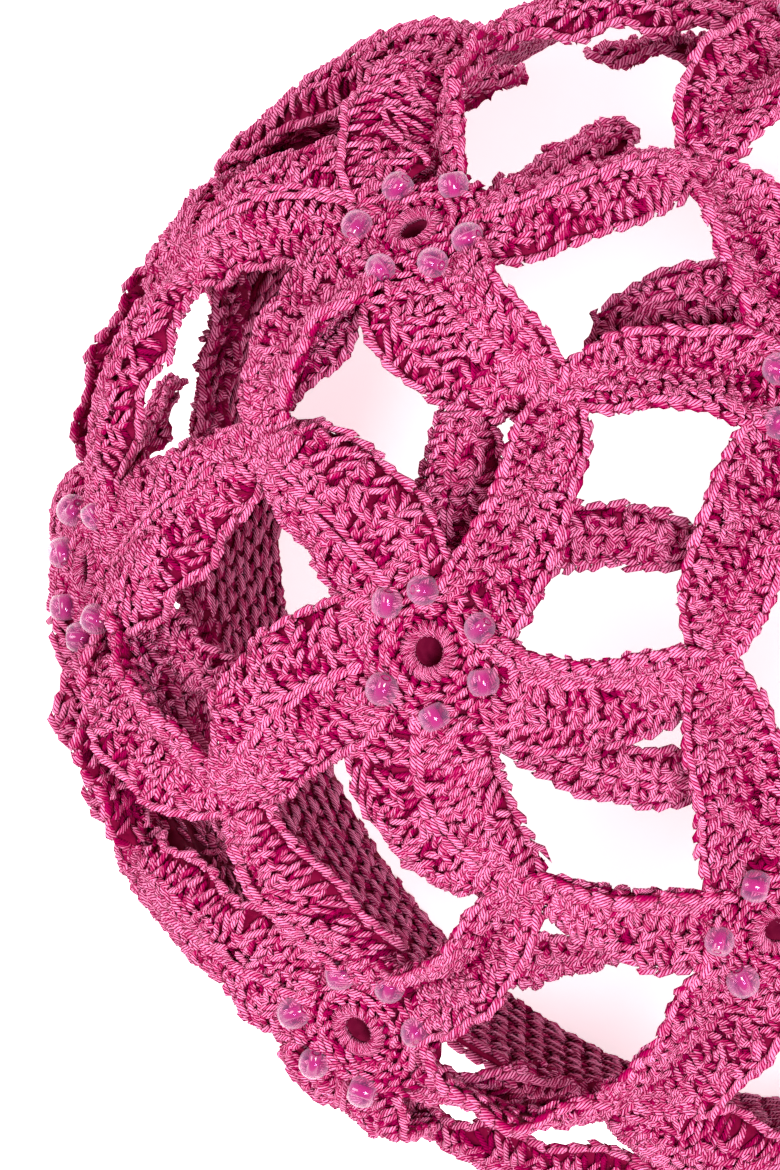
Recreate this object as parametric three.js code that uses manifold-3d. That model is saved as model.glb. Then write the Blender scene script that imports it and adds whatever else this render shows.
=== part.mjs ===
// Crochet hat: a head-sized dome of eleven crocheted flowers on a plain crocheted brim band.
// One flower sits on the crown, five lie round it and five more at the side of the head.
// Each flower is a ring-centred rosette with five upper petals, whose tips meet the tips of two
// neighbouring flowers at a join, and with lower petals that lie nearer to the head between them.
// Millimetres and degrees, +Z up, the brim band standing on Z = 0 round the Z axis.
import * as THREE from "three";
import { mergeVertices } from "three/addons/utils/BufferGeometryUtils.js";
import Module from "manifold-3d";

// Driving dimensions of the dome and the band
const DOME_RADIUS = 79; // to the middle of the crochet
const BAND_HEIGHT = 26;
const BAND_THICKNESS = 3;
const BAND_SIDES = 48;
const EQUATOR_HEIGHT = 46; // where the dome's half ball turns into an upright wall

// Driving dimensions of a flower
const PETAL_THICKNESS = 2.4;
const PETAL_START = 5.5; // from the flower's centre, inside the rosette
const LOWER_START = 7.5;
// From a tip to the middle of its join, by the ring of joins; on the band, to its top edge
const CLEARANCES = { inner: 2.4, middle: 2.3, outer: 2.6, band: 4.4 };
const EYELET_RADIUS = 1.8;
const ROSETTE_SIDES = 14;
// Half the rosette's outline, from its eyelet round and back
const ROSETTE_PROFILE = [
  { radius: EYELET_RADIUS, height: -3 },
  { radius: 9.8, height: -3 },
  { radius: 11, height: 1 },
  { radius: 4.6, height: 2 },
  { radius: 3, height: 3.2 },
  { radius: EYELET_RADIUS, height: 2.4 },
  { radius: EYELET_RADIUS, height: -3 },
];
// A flower's lean is whole up to the first distance from its centre and gone at the second
const LEAN_FADE = { from: 8, to: 26 };
const FOLD_SETTLE = 0.45; // a folded petal's midrib sinks, or rises, by this share of the fold
const CORD_PINK = 0xc43c7a;

// The ways in which one side of a petal is folded from its midrib: how steeply it rises, in degrees
// at its root, middle and tip, and how wide it is cut
const FORMS = {
  rise: { fold: [30, 45, 35], wide: 0.95 },
  stand: { fold: [40, 58, 46], wide: 0.8 },
  dish: { fold: [24, 30, 22], wide: 1.05 },
  tall: { fold: [34, 50, 30], wide: 1.3 },
  flat: { fold: [12, -6, -14], wide: 1.08 },
  roll: { fold: [8, -18, -26], wide: 1.14 },
  broad: { fold: [8, -14, -22], wide: 1.35 },
  fall: { fold: [-4, -40, -42], wide: 1 },
  bar: { fold: [0, -14, -20], wide: 1 },
};

// Where the flowers lie, in degrees down from the crown and degrees round, how far each leans
// towards the crown, and their upper petals in the order in which FLOWER_JOINS names them: the forms
// of the left and the right side, and how far the way there bows to the left in millimetres
const FLOWERS = [
  {
    name: "crown_flower", down: 0, round: 0, lean: 0,
    petals: ["fall roll -3", "flat flat -5", "roll roll -7", "stand flat -3", "stand dish -4"],
  },
  {
    name: "upper_flower_1", down: 43, round: -5, lean: -8,
    petals: ["dish roll -4", "dish flat -3", "fall broad -5", "tall rise 2", "fall bar -4"],
  },
  {
    name: "upper_flower_2", down: 54, round: 69, lean: 6,
    petals: ["roll roll -4", "dish dish -3", "rise dish 0", "flat roll 0", "fall roll 0"],
  },
  {
    name: "upper_flower_3", down: 49, round: 141, lean: 24,
    petals: ["fall roll -3", "rise rise -2", "dish fall -3", "flat flat -2", "flat roll -3"],
  },
  {
    name: "upper_flower_4", down: 44, round: 210, lean: 0,
    petals: ["flat stand -1", "dish rise 0", "flat flat -3", "fall roll -3", "dish dish 1"],
  },
  {
    name: "upper_flower_5", down: 46, round: 287, lean: 0,
    petals: ["rise dish -3", "dish stand -3", "rise rise 0", "flat flat -3", "fall roll -3"],
  },
  {
    name: "side_flower_1", down: 87, round: 32, lean: 0,
    petals: ["flat roll -3", "dish dish -2", "fall roll -1", "flat flat -1", "fall broad -2"],
  },
  {
    name: "side_flower_2", down: 87, round: 104, lean: 0,
    petals: ["roll flat -3", "fall roll -2", "flat flat -1", "rise dish -1", "roll fall -2"],
  },
  {
    name: "side_flower_3", down: 86, round: 175, lean: 0,
    petals: ["fall roll -3", "dish dish -3", "flat flat -1", "roll fall -1", "flat roll -3"],
  },
  {
    name: "side_flower_4", down: 87, round: 248, lean: 0,
    petals: ["flat flat -3", "roll fall -2", "dish rise -1", "flat roll -1", "dish dish -2"],
  },
  {
    name: "side_flower_5", down: 87, round: 322, lean: 0,
    petals: ["dish dish -3", "flat flat -3", "roll flat -1", "fall roll -1", "rise dish -3"],
  },
];

// Where petal tips meet: degrees down from the crown and degrees round
const JOINS = {
  inner_1: { down: 28.8, round: 32 },
  inner_2: { down: 30.5, round: 107 },
  inner_3: { down: 24.5, round: 182 },
  inner_4: { down: 27.5, round: 252 },
  inner_5: { down: 28.5, round: 321 },
  middle_1: { down: 58.5, round: 32 },
  middle_2: { down: 59, round: 104 },
  middle_3: { down: 56, round: 173 },
  middle_4: { down: 57, round: 249 },
  middle_5: { down: 57, round: 322 },
  outer_1: { down: 77, round: -4 },
  outer_2: { down: 80, round: 68 },
  outer_3: { down: 78, round: 140 },
  outer_4: { down: 77, round: 212 },
  outer_5: { down: 78, round: 286 },
};

// The joins that each flower's five upper petals reach; band_left and band_right are on the brim band
const FLOWER_JOINS = {
  crown_flower: ["inner_1", "inner_2", "inner_3", "inner_4", "inner_5"],
  upper_flower_1: ["inner_5", "inner_1", "middle_1", "outer_1", "middle_5"],
  upper_flower_2: ["inner_1", "inner_2", "middle_2", "outer_2", "middle_1"],
  upper_flower_3: ["inner_2", "inner_3", "middle_3", "outer_3", "middle_2"],
  upper_flower_4: ["inner_3", "inner_4", "middle_4", "outer_4", "middle_3"],
  upper_flower_5: ["inner_4", "inner_5", "middle_5", "outer_5", "middle_4"],
  side_flower_1: ["middle_1", "outer_2", "band_left", "band_right", "outer_1"],
  side_flower_2: ["middle_2", "outer_3", "band_left", "band_right", "outer_2"],
  side_flower_3: ["middle_3", "outer_4", "band_left", "band_right", "outer_3"],
  side_flower_4: ["middle_4", "outer_5", "band_left", "band_right", "outer_4"],
  side_flower_5: ["middle_5", "outer_1", "band_left", "band_right", "outer_5"],
};
const BAND_JOIN_ROUND = 17; // a side flower's band tips lie this far round from its centre

// Lower petals: the flower that carries one, where its tip ends, how far its way there bows to the
// left in millimetres, and how wide it is cut
const LOWER_PETALS = [
  { flower: "crown_flower", down: 25, round: 345, bow: 0, wide: 1.4 },
  { flower: "upper_flower_2", down: 27, round: 96, bow: 0, wide: 0.9 },
  { flower: "crown_flower", down: 26, round: 148, bow: 0, wide: 1.15 },
  { flower: "crown_flower", down: 32, round: 225, bow: -6, wide: 0.95 },
  { flower: "crown_flower", down: 28, round: 276, bow: 8, wide: 0.95 },
  { flower: "upper_flower_1", down: 40, round: 32, bow: 2, wide: 1.1 },
  { flower: "upper_flower_2", down: 46, round: 107, bow: 2, wide: 1 },
  { flower: "upper_flower_3", down: 38.5, round: 187, bow: 3, wide: 0.9 },
  { flower: "upper_flower_4", down: 42, round: 249, bow: 2, wide: 1 },
  { flower: "upper_flower_5", down: 36, round: 322, bow: -13, wide: 1.2 },
  { flower: "upper_flower_1", down: 65, round: 14, bow: 2, wide: 1.1 },
  { flower: "upper_flower_1", down: 65, round: 337, bow: -2, wide: 1.1 },
  { flower: "upper_flower_2", down: 73, round: 87, bow: 2, wide: 1 },
  { flower: "upper_flower_2", down: 73, round: 51, bow: -2, wide: 1 },
  { flower: "upper_flower_3", down: 70, round: 159, bow: 2, wide: 1 },
  { flower: "upper_flower_3", down: 70, round: 122, bow: -2, wide: 1 },
  { flower: "upper_flower_4", down: 66, round: 230, bow: 2, wide: 1 },
  { flower: "upper_flower_4", down: 66, round: 193, bow: -2, wide: 1 },
  { flower: "upper_flower_5", down: 68, round: 304, bow: 2, wide: 1 },
  { flower: "upper_flower_5", down: 68, round: 268, bow: -2, wide: 1 },
];
// Every side flower's lower petals, in degrees further down and further round than its centre
const SIDE_LOWER_PETALS = [
  { down: 6, round: 30, bow: -2, wide: 1 },
  { down: 6, round: -30, bow: 2, wide: 1 },
];

// A petal's sections from its root to its tip: share of its length, half of its spread width, and
// how far its midrib stands above the dome
const UPPER_SECTIONS = [
  { share: 0, halfWidth: 5.6, lift: 0.8 },
  { share: 0.16, halfWidth: 7.8, lift: 1.4 },
  { share: 0.4, halfWidth: 7.9, lift: 2.8 },
  { share: 0.66, halfWidth: 7.6, lift: 3.4 },
  { share: 0.87, halfWidth: 6, lift: 2.6 },
  { share: 1, halfWidth: 1.8, lift: 1 },
];
const LOWER_SECTIONS = [
  { share: 0, halfWidth: 3, lift: -1.8 },
  { share: 0.4, halfWidth: 4.8, lift: -4.6 },
  { share: 0.8, halfWidth: 5, lift: -6 },
  { share: 1, halfWidth: 3.2, lift: -6.4 },
];

const wasm = await Module();
wasm.setup();

// A point of the dome from degrees down and degrees round; past 90 degrees down it is on the upright wall
function domePoint(down, round) {
  const turn = THREE.MathUtils.degToRad(round);
  const slope = THREE.MathUtils.degToRad(Math.min(down, 90));
  const below = Math.max(0, THREE.MathUtils.degToRad(down) - Math.PI / 2) * DOME_RADIUS;
  return new THREE.Vector3(
    DOME_RADIUS * Math.sin(slope) * Math.cos(turn),
    DOME_RADIUS * Math.sin(slope) * Math.sin(turn),
    EQUATOR_HEIGHT + DOME_RADIUS * Math.cos(slope) - below,
  );
}

// The dome's outward normal under a point near it
function domeNormal(point) {
  const height = Math.max(0, point.z - EQUATOR_HEIGHT);
  return new THREE.Vector3(point.x, point.y, height).normalize();
}

// The dome's own point nearest to a point beside it
function ontoDome(point) {
  const foot = new THREE.Vector3(0, 0, Math.min(point.z, EQUATOR_HEIGHT));
  return domeNormal(point).multiplyScalar(DOME_RADIUS).add(foot);
}

// A place on a petal's bowed way from one dome point to another, with its directions
function wayAt(from, to, bow, share) {
  const chord = to.clone().sub(from);
  const left = new THREE.Vector3().crossVectors(domeNormal(from), chord).normalize();
  const at = (t) =>
    ontoDome(
      from.clone().addScaledVector(chord, t).addScaledVector(left, bow * Math.sin(Math.PI * t)),
    );
  const point = at(share);
  const out = domeNormal(point);
  const along = at(share + 0.01).sub(at(share - 0.01)).normalize();
  const across = new THREE.Vector3().crossVectors(out, along).normalize();
  return { point, across, out };
}

// A value given at a petal's root, middle and tip, read at a share of its length, in radians
function angleAt(stations, share) {
  const [from, to, t] = share < 0.5 ? [0, 1, share * 2] : [1, 2, share * 2 - 1];
  return THREE.MathUtils.degToRad(stations[from] * (1 - t) + stations[to] * t);
}

// A flower's centre, its face's normal and the directions downhill and round the dome from there
function seatOf(flower) {
  const centre = domePoint(flower.down, flower.round);
  const out = domeNormal(centre);
  const turn = THREE.MathUtils.degToRad(flower.round);
  const level = new THREE.Vector3(Math.cos(turn), Math.sin(turn), 0);
  const downhill = level.addScaledVector(out, -level.dot(out));
  if (downhill.length() < 0.01) downhill.set(0, 0, -1);
  downhill.normalize();
  const lean = THREE.MathUtils.degToRad(flower.lean);
  const normal = out.clone().multiplyScalar(Math.cos(lean)).addScaledVector(downhill, -Math.sin(lean));
  return { centre, normal, lean, downhill, roundwise: new THREE.Vector3().crossVectors(out, downhill) };
}

// What a flower's lean adds to a petal at a distance from its centre: it lifts the petals that run
// downhill and turns those that run round the dome
function leanOf(seat, target, reach) {
  const heading = target.clone().sub(seat.centre).normalize();
  const span = LEAN_FADE.to - LEAN_FADE.from;
  const fade = THREE.MathUtils.clamp((LEAN_FADE.to - reach) / span, 0, 1);
  return {
    lift: reach * Math.sin(seat.lean) * heading.dot(seat.downhill) * fade,
    turn: -seat.lean * heading.dot(seat.roundwise) * fade,
  };
}

// One section of a petal: three points over its upper face and three back under it
function petalSection(way, row, petal, lean) {
  const fold = petal.sides.map((side) => angleAt(side.fold, row.share));
  const width = petal.sides.map((side) => row.halfWidth * side.wide * petal.wide);
  const turn = lean.turn;
  const settle = (FOLD_SETTLE * (width[0] * Math.sin(fold[0]) + width[1] * Math.sin(fold[1]))) / 2;
  const place = (sideways, outwards) =>
    way.point
      .clone()
      .addScaledVector(way.across, sideways * Math.cos(turn) - outwards * Math.sin(turn))
      .addScaledVector(
        way.out,
        row.lift + lean.lift - settle + sideways * Math.sin(turn) + outwards * Math.cos(turn),
      );
  const faces = [1, -1].map((face) => {
    const half = (face * PETAL_THICKNESS) / 2;
    const edge = (k) => [
      width[k] * Math.cos(fold[k]) - half * Math.sin(fold[k]),
      width[k] * Math.sin(fold[k]) + half * Math.cos(fold[k]),
    ];
    const [left, right] = [edge(0), edge(1)];
    return [place(left[0], left[1]), place(0, half), place(-right[0], right[1])];
  });
  return [...faces[0].reverse(), ...faces[1]];
}

// A closed solid lofted through sections that have the same number of points
function loftedSolid(sections) {
  const count = sections[0].length;
  const positions = sections.flat().flatMap((p) => [p.x, p.y, p.z]);
  const faces = [];
  const quad = (a, b, c, d) => faces.push(a, c, b, a, d, c);
  for (let s = 0; s < sections.length - 1; s += 1) {
    for (let k = 0; k < count; k += 1) {
      const next = (k + 1) % count;
      quad(s * count + k, s * count + next, (s + 1) * count + next, (s + 1) * count + k);
    }
  }
  const last = (sections.length - 1) * count;
  for (let k = 0; k < count / 2 - 1; k += 1) {
    const back = count - 1 - k;
    quad(k, back, back - 1, k + 1);
    quad(last + k, last + k + 1, last + back - 1, last + back);
  }
  const geometry = new THREE.BufferGeometry();
  geometry.setAttribute("position", new THREE.Float32BufferAttribute(positions, 3));
  geometry.setIndex(faces);
  return solidOf(geometry);
}

// A closed three.js geometry as a solid that can be joined and cut
function solidOf(geometry) {
  geometry.deleteAttribute("normal");
  geometry.deleteAttribute("uv");
  const merged = mergeVertices(geometry, 1e-4);
  return new wasm.Manifold(
    new wasm.Mesh({
      numProp: 3,
      vertProperties: merged.attributes.position.array,
      triVerts: new Uint32Array(merged.index.array),
    }),
  );
}

function geometryOf(solid) {
  const mesh = solid.getMesh();
  const geometry = new THREE.BufferGeometry();
  geometry.setAttribute("position", new THREE.Float32BufferAttribute(mesh.vertProperties, 3));
  geometry.setIndex(new THREE.Uint32BufferAttribute(mesh.triVerts, 1));
  geometry.computeVertexNormals();
  return geometry;
}

// A petal from a flower's centre towards a dome point, ending a clearance short of it
function petalSolid(seat, target, petal) {
  const distance = seat.centre.distanceTo(target);
  const root = petal.start / distance;
  const tip = 1 - petal.clearance / distance;
  const sections = petal.rows.map((row) => {
    const share = root + row.share * (tip - root);
    const way = wayAt(seat.centre, target, petal.bow, share);
    return petalSection(way, row, petal, leanOf(seat, target, share * distance));
  });
  return loftedSolid(sections);
}

// The rosette: a low disc with a raised ring round its eyelet
function rosetteSolid({ centre, normal }) {
  const profile = ROSETTE_PROFILE.map(({ radius, height }) => new THREE.Vector2(radius, height));
  const disc = new THREE.LatheGeometry(profile, ROSETTE_SIDES).rotateX(Math.PI / 2);
  disc.applyQuaternion(
    new THREE.Quaternion().setFromUnitVectors(new THREE.Vector3(0, 0, 1), normal),
  );
  return solidOf(disc.translate(centre.x, centre.y, centre.z));
}

// Where a flower's upper petal ends: a join on the dome, or a place on the band's top edge
function joinOf(flower, name) {
  const clearance = CLEARANCES[name.split("_")[0]];
  if (JOINS[name]) return [domePoint(JOINS[name].down, JOINS[name].round), clearance];
  const turn = name === "band_left" ? BAND_JOIN_ROUND : -BAND_JOIN_ROUND;
  const foot = domePoint(90, flower.round + turn);
  foot.z = BAND_HEIGHT;
  return [foot, clearance];
}

function flowerMesh(flower) {
  const seat = seatOf(flower);
  const upper = FLOWER_JOINS[flower.name].map((name, i) => {
    const [target, clearance] = joinOf(flower, name);
    const [left, right, bow] = flower.petals[i].split(" ");
    const sides = [FORMS[left], FORMS[right]];
    const petal = { start: PETAL_START, clearance, rows: UPPER_SECTIONS, bow: Number(bow), wide: 1, sides };
    return petalSolid(seat, target, petal);
  });
  const places = flower.name.startsWith("side")
    ? SIDE_LOWER_PETALS.map((p) => ({ ...p, down: flower.down + p.down, round: flower.round + p.round }))
    : LOWER_PETALS.filter((p) => p.flower === flower.name);
  const lower = places.map(({ down, round, bow, wide }) => {
    const sides = [FORMS.bar, FORMS.bar];
    const petal = { start: LOWER_START, clearance: 0, rows: LOWER_SECTIONS, bow, wide, sides };
    return petalSolid(seat, domePoint(down, round), petal);
  });
  const pieces = [rosetteSolid(seat), ...upper, ...lower];
  const joined = pieces.reduce((sum, piece) => sum.add(piece));
  const material = new THREE.MeshStandardMaterial({ color: CORD_PINK, roughness: 0.5, metalness: 0 });
  const mesh = new THREE.Mesh(geometryOf(joined), material);
  mesh.name = flower.name;
  return mesh;
}

function bandMesh() {
  const inner = DOME_RADIUS - BAND_THICKNESS / 2;
  const outer = DOME_RADIUS + BAND_THICKNESS / 2;
  const profile = [
    [inner, 0],
    [outer, 0],
    [outer, BAND_HEIGHT],
    [inner, BAND_HEIGHT],
    [inner, 0],
  ].map(([radius, height]) => new THREE.Vector2(radius, height));
  const material = new THREE.MeshStandardMaterial({ color: CORD_PINK, roughness: 0.5, metalness: 0 });
  const mesh = new THREE.Mesh(new THREE.LatheGeometry(profile, BAND_SIDES), material);
  mesh.rotation.x = Math.PI / 2;
  mesh.name = "brim_band";
  return mesh;
}

const hat = new THREE.Group();
for (const flower of FLOWERS) hat.add(flowerMesh(flower));
hat.add(bandMesh());

export default hat;
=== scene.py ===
# Crochet hat: the looks of eleven crocheted flowers, their glass beads, joins and brim band.
# The tables below are in millimetres and degrees, +Z up, as the hat's own frame, and every mesh is
# turned to metres when it is made. A petal is worked out flat, as a maker would chart it, and then
# laid on its folded place on the dome.
import math

import bmesh
import bpy
import numpy as np
from mathutils import Matrix, Vector


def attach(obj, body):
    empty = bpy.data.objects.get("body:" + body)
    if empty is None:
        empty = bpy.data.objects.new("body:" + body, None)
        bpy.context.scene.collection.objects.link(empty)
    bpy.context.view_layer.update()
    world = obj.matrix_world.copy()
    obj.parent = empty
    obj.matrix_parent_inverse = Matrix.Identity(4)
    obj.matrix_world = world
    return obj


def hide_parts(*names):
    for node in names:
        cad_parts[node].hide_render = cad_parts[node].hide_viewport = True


bl_info = {
    "name": "Crochet Flower Hat",
    "version": (1, 0, 0),
    "blender": (4, 5, 0),
    "location": "View3D > Sidebar > Crochet Hat",
    "description": "Builds an openwork hat of crocheted flowers with glass seed beads",
    "category": "Add Mesh",
}

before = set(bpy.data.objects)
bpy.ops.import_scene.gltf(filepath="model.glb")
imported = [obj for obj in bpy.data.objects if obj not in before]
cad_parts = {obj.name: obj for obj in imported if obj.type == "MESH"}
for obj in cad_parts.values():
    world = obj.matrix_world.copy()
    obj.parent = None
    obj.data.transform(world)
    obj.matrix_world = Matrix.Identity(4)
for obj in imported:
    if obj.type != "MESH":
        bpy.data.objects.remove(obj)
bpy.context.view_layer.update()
MM = 0.001

# The dome and the band
DOME_RADIUS = 79.0
BAND_HEIGHT = 26.0
EQUATOR_HEIGHT = 46.0

# A flower
PETAL_START = 5.5
LOWER_START = 7.5
ROOT_HIDDEN = 1.6  # of a petal's root, what the rosette covers
TIP_GAP = {"inner": 0.6, "middle": 0.6, "outer": 0.8, "band": 1.2}
LEAN_FADE = (8, 26)  # a lean is whole up to the first distance from the centre, gone at the second
FOLD_SETTLE = 0.45  # the share of its sides' rise by which a petal sinks towards the dome
# Painted shade in folds: the middle of an upright fold is painted darker, as if it lay this many millimetres
# deeper, and the middle of a falling fold lighter
FOLD_SHADE_DEPTH = 0.5  # how much deeper the middle of an upright fold seems
FOLD_REACH = 2.8  # how far from the middle that fades
CREASE = 1.1  # how far from the midrib a fold is still rounded

# The ways in which one side of a petal is folded: how steeply it rises from the midrib and how far it
# curls on towards its edge, in degrees at its root, middle and tip; then how wide it is cut, how far
# it puffs out, and how far the midrib's chain stands up beside it
FORMS = {
    "rise": {"fold": [30, 48, 36], "curl": [0, 12, 0], "wide": 1.0, "puff": 0.2, "rib": 0.2},
    "stand": {"fold": [40, 62, 50], "curl": [0, 10, 0], "wide": 0.85, "puff": 0.1, "rib": 0.3},
    "dish": {"fold": [24, 34, 24], "curl": [0, 16, -10], "wide": 1.1, "puff": 0.3, "rib": 0.3},
    "tall": {"fold": [34, 56, 40], "curl": [0, -60, -60], "wide": 1.5, "puff": 0.4, "rib": 0.3},
    "flat": {"fold": [12, 0, -8], "curl": [0, -32, -44], "wide": 1.15, "puff": 0.7, "rib": 0.7},
    "roll": {"fold": [8, -4, -12], "curl": [0, -55, -58], "wide": 1.28, "puff": 1.2, "rib": 1.0},
    "broad": {"fold": [8, -2, -10], "curl": [0, -50, -55], "wide": 1.45, "puff": 1.3, "rib": 1.0},
    "fall": {"fold": [-4, -38, -42], "curl": [0, -16, -10], "wide": 1.08, "puff": 0.4, "rib": 1.1},
    "bar": {"fold": [0, -10, -14], "curl": [0, -45, -45], "wide": 0.95, "puff": 0.5, "rib": 0.4},
}

# Where the flowers lie, how far each leans towards the crown, and its upper petals: the forms of the
# left and the right side, and how far the way to the tip bows to the left
FLOWERS = [
    ("crown_flower", 0, 0, 0, "fall roll -3, flat flat -5, roll roll -7, stand flat -3, stand dish -4"),
    ("upper_flower_1", 43, -5, -8, "dish roll -4, dish flat -3, fall broad -5, tall rise 2, fall bar -4"),
    ("upper_flower_2", 54, 69, 6, "roll roll -4, dish dish -3, rise dish 0, flat roll 0, fall roll 0"),
    ("upper_flower_3", 49, 141, 24, "fall roll -3, rise rise -2, dish fall -3, flat flat -2, flat roll -3"),
    ("upper_flower_4", 44, 210, 0, "flat stand -1, dish rise 0, flat flat -3, fall roll -3, dish dish 1"),
    ("upper_flower_5", 46, 287, 0, "rise dish -3, dish stand -3, rise rise 0, flat flat -3, fall roll -3"),
    ("side_flower_1", 87, 32, 0, "flat roll -3, dish dish -2, fall roll -1, flat flat -1, fall broad -2"),
    ("side_flower_2", 87, 104, 0, "roll flat -3, fall roll -2, flat flat -1, rise dish -1, roll fall -2"),
    ("side_flower_3", 86, 175, 0, "fall roll -3, dish dish -3, flat flat -1, roll fall -1, flat roll -3"),
    ("side_flower_4", 87, 248, 0, "flat flat -3, roll fall -2, dish rise -1, flat roll -1, dish dish -2"),
    ("side_flower_5", 87, 322, 0, "dish dish -3, flat flat -3, roll flat -1, fall roll -1, rise dish -3"),
]

# Where petal tips meet: degrees down from the crown and degrees round
JOINS = {
    "inner_1": (28.8, 32), "inner_2": (30.5, 107), "inner_3": (24.5, 182), "inner_4": (27.5, 252),
    "inner_5": (28.5, 321), "middle_1": (58.5, 32), "middle_2": (59, 104), "middle_3": (56, 173),
    "middle_4": (57, 249), "middle_5": (57, 322), "outer_1": (77, -4), "outer_2": (80, 68),
    "outer_3": (78, 140), "outer_4": (77, 212), "outer_5": (78, 286),
}
FLOWER_JOINS = {
    "crown_flower": ["inner_1", "inner_2", "inner_3", "inner_4", "inner_5"],
    "upper_flower_1": ["inner_5", "inner_1", "middle_1", "outer_1", "middle_5"],
    "upper_flower_2": ["inner_1", "inner_2", "middle_2", "outer_2", "middle_1"],
    "upper_flower_3": ["inner_2", "inner_3", "middle_3", "outer_3", "middle_2"],
    "upper_flower_4": ["inner_3", "inner_4", "middle_4", "outer_4", "middle_3"],
    "upper_flower_5": ["inner_4", "inner_5", "middle_5", "outer_5", "middle_4"],
    "side_flower_1": ["middle_1", "outer_2", "band_left", "band_right", "outer_1"],
    "side_flower_2": ["middle_2", "outer_3", "band_left", "band_right", "outer_2"],
    "side_flower_3": ["middle_3", "outer_4", "band_left", "band_right", "outer_3"],
    "side_flower_4": ["middle_4", "outer_5", "band_left", "band_right", "outer_4"],
    "side_flower_5": ["middle_5", "outer_1", "band_left", "band_right", "outer_5"],
}
BAND_JOIN_ROUND = 17

# Each flower's lower petals: degrees down and round of the tip, the bow of the way, and how wide
LOWER_PETALS = {
    "crown_flower": [(25, 345, 0, 1.4), (26, 148, 0, 1.15), (32, 225, -6, 0.95), (28, 276, 8, 0.95)],
    "upper_flower_1": [(40, 32, 2, 1.1), (65, 14, 2, 1.1), (65, 337, -2, 1.1)],
    "upper_flower_2": [(27, 96, 0, 0.9), (46, 107, 2, 1), (73, 87, 2, 1), (73, 51, -2, 1)],
    "upper_flower_3": [(38.5, 187, 3, 0.9), (70, 159, 2, 1), (70, 122, -2, 1)],
    "upper_flower_4": [(42, 249, 2, 1), (66, 230, 2, 1), (66, 193, -2, 1)],
    "upper_flower_5": [(36, 322, -13, 1.2), (68, 304, 2, 1), (68, 268, -2, 1)],
}
# The same for every side flower, with the degrees counted from its own centre
SIDE_LOWER_PETALS = [(6, 30, -2, 1), (6, -30, 2, 1)]

# A petal's sections: share of its length, half of its spread width, height of its midrib
UPPER_SECTIONS = [(0, 6.6, 0.8), (0.16, 9, 1.4), (0.4, 9, 2.8), (0.66, 8.1, 3.4), (0.87, 6.4, 2.6), (1, 3, 1)]
LOWER_SECTIONS = [(0, 3, -1.8), (0.4, 4.8, -4.6), (0.8, 5, -6), (1, 3.2, -6.4)]

# The rosette: radius and height of its upper face, and the ring that cord is wound on
ROSETTE_FACE = [(1.8, 2.4), (3, 2.6), (4.6, 1.9), (8, 1.7), (11, 0.6)]
RING_RADIUS = 3.15
RING_HEIGHT = 2.1
RING_THICKNESS = 0.95  # from the ring's core to the middle of the cord that is wound on it
RING_WRAPS = 42
WRAP_THICKNESS = 0.52
WRAP_SLANT = 0.22  # how far round the flower, in radians, a wrap moves on its way over the ring
# The disc of painted shade under the stitches, in the cord's dark colour that shows between them, from its
# axis round its rim and back; its eyelet is blind, because the stitches of the under face close it
ROSETTE_SHADE_DISC = [
    (0, -1.7), (10.6, -1.7), (11.6, -0.6), (10.8, 0.3), (8, 1.2), (4.6, 1.4), (2.2, 1.3), (2, -1.3), (0, -1.4)
]
LATHE_STEPS = 24

# Beads round the ring: degrees from the downhill direction, distance from the centre, tilt of the
# hole away from upright, and the way it tilts
BEADS = {
    "crown_flower": [
        (25, 8.6, 80, 60), (-14, 8.4, 30, 150), (-82, 8.6, 75, 20),
        (-131, 9.0, 85, 80), (170, 8.8, 85, 100), (112, 8.4, 75, 45),
    ],
    "upper_flower_1": [
        (25, 9.0, 60, 20), (-40, 8.0, 40, 90), (78, 8.8, 85, 70),
        (-116, 10.2, 80, 0), (160, 8.6, 75, 120), (-150, 9.6, 85, 150),
    ],
    "upper_flower_2": [
        (-50, 9.2, 80, 130), (-120, 9.4, 60, 20), (140, 9.2, 45, 70),
        (90, 9.6, 30, 100), (-5, 8.6, 85, 40), (45, 9.2, 85, 10),
    ],
    "upper_flower_3": [
        (-155, 9.0, 70, 30), (160, 10.4, 85, 90), (118, 9.8, 40, 160),
        (15, 9.6, 80, 0), (-32, 10.4, 85, 90), (-78, 10.0, 80, 45),
    ],
    "upper_flower_4": [
        (152, 9.0, 70, 120), (-140, 8.4, 35, 0), (-85, 9.0, 80, 60),
        (20, 9.0, 80, 10), (75, 8.8, 85, 80), (-30, 9.2, 60, 140),
    ],
    "upper_flower_5": [
        (120, 8.8, 50, 30), (172, 8.6, 30, 90), (60, 9.0, 80, 10),
        (0, 8.8, 85, 60), (-60, 9.0, 70, 120), (-118, 8.8, 80, 150),
    ],
}
PLAIN_BEAD_ANGLES = (30, 90, 150, -150, -90, -30)
PLAIN_BEAD_DISTANCE = 8.8
BEAD_HEIGHT = 1.7  # of a bead's middle over the rosette's face

# The strands of the crochet, one in each line. A strand's two ends come first, then its bow, and last how
# thick it is as a share of the cord where that differs, and how light it is painted: strands that lie under
# others are painted darker, as painted shade.
# Edge chain: an end is a share of a stitch along the edge, a distance out of it, and a height
EDGE_LEGS = [
    ((-0.66, -0.5, 0.25), (0.58, 0.3, 0.7), (0, 0.3, 0.3), 1.06, 1.1),
    ((-0.6, 0.25, -0.3), (0.6, -0.35, 0.45), (0, 0.15, 0.0), 1.1, 1.05),
]
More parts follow.
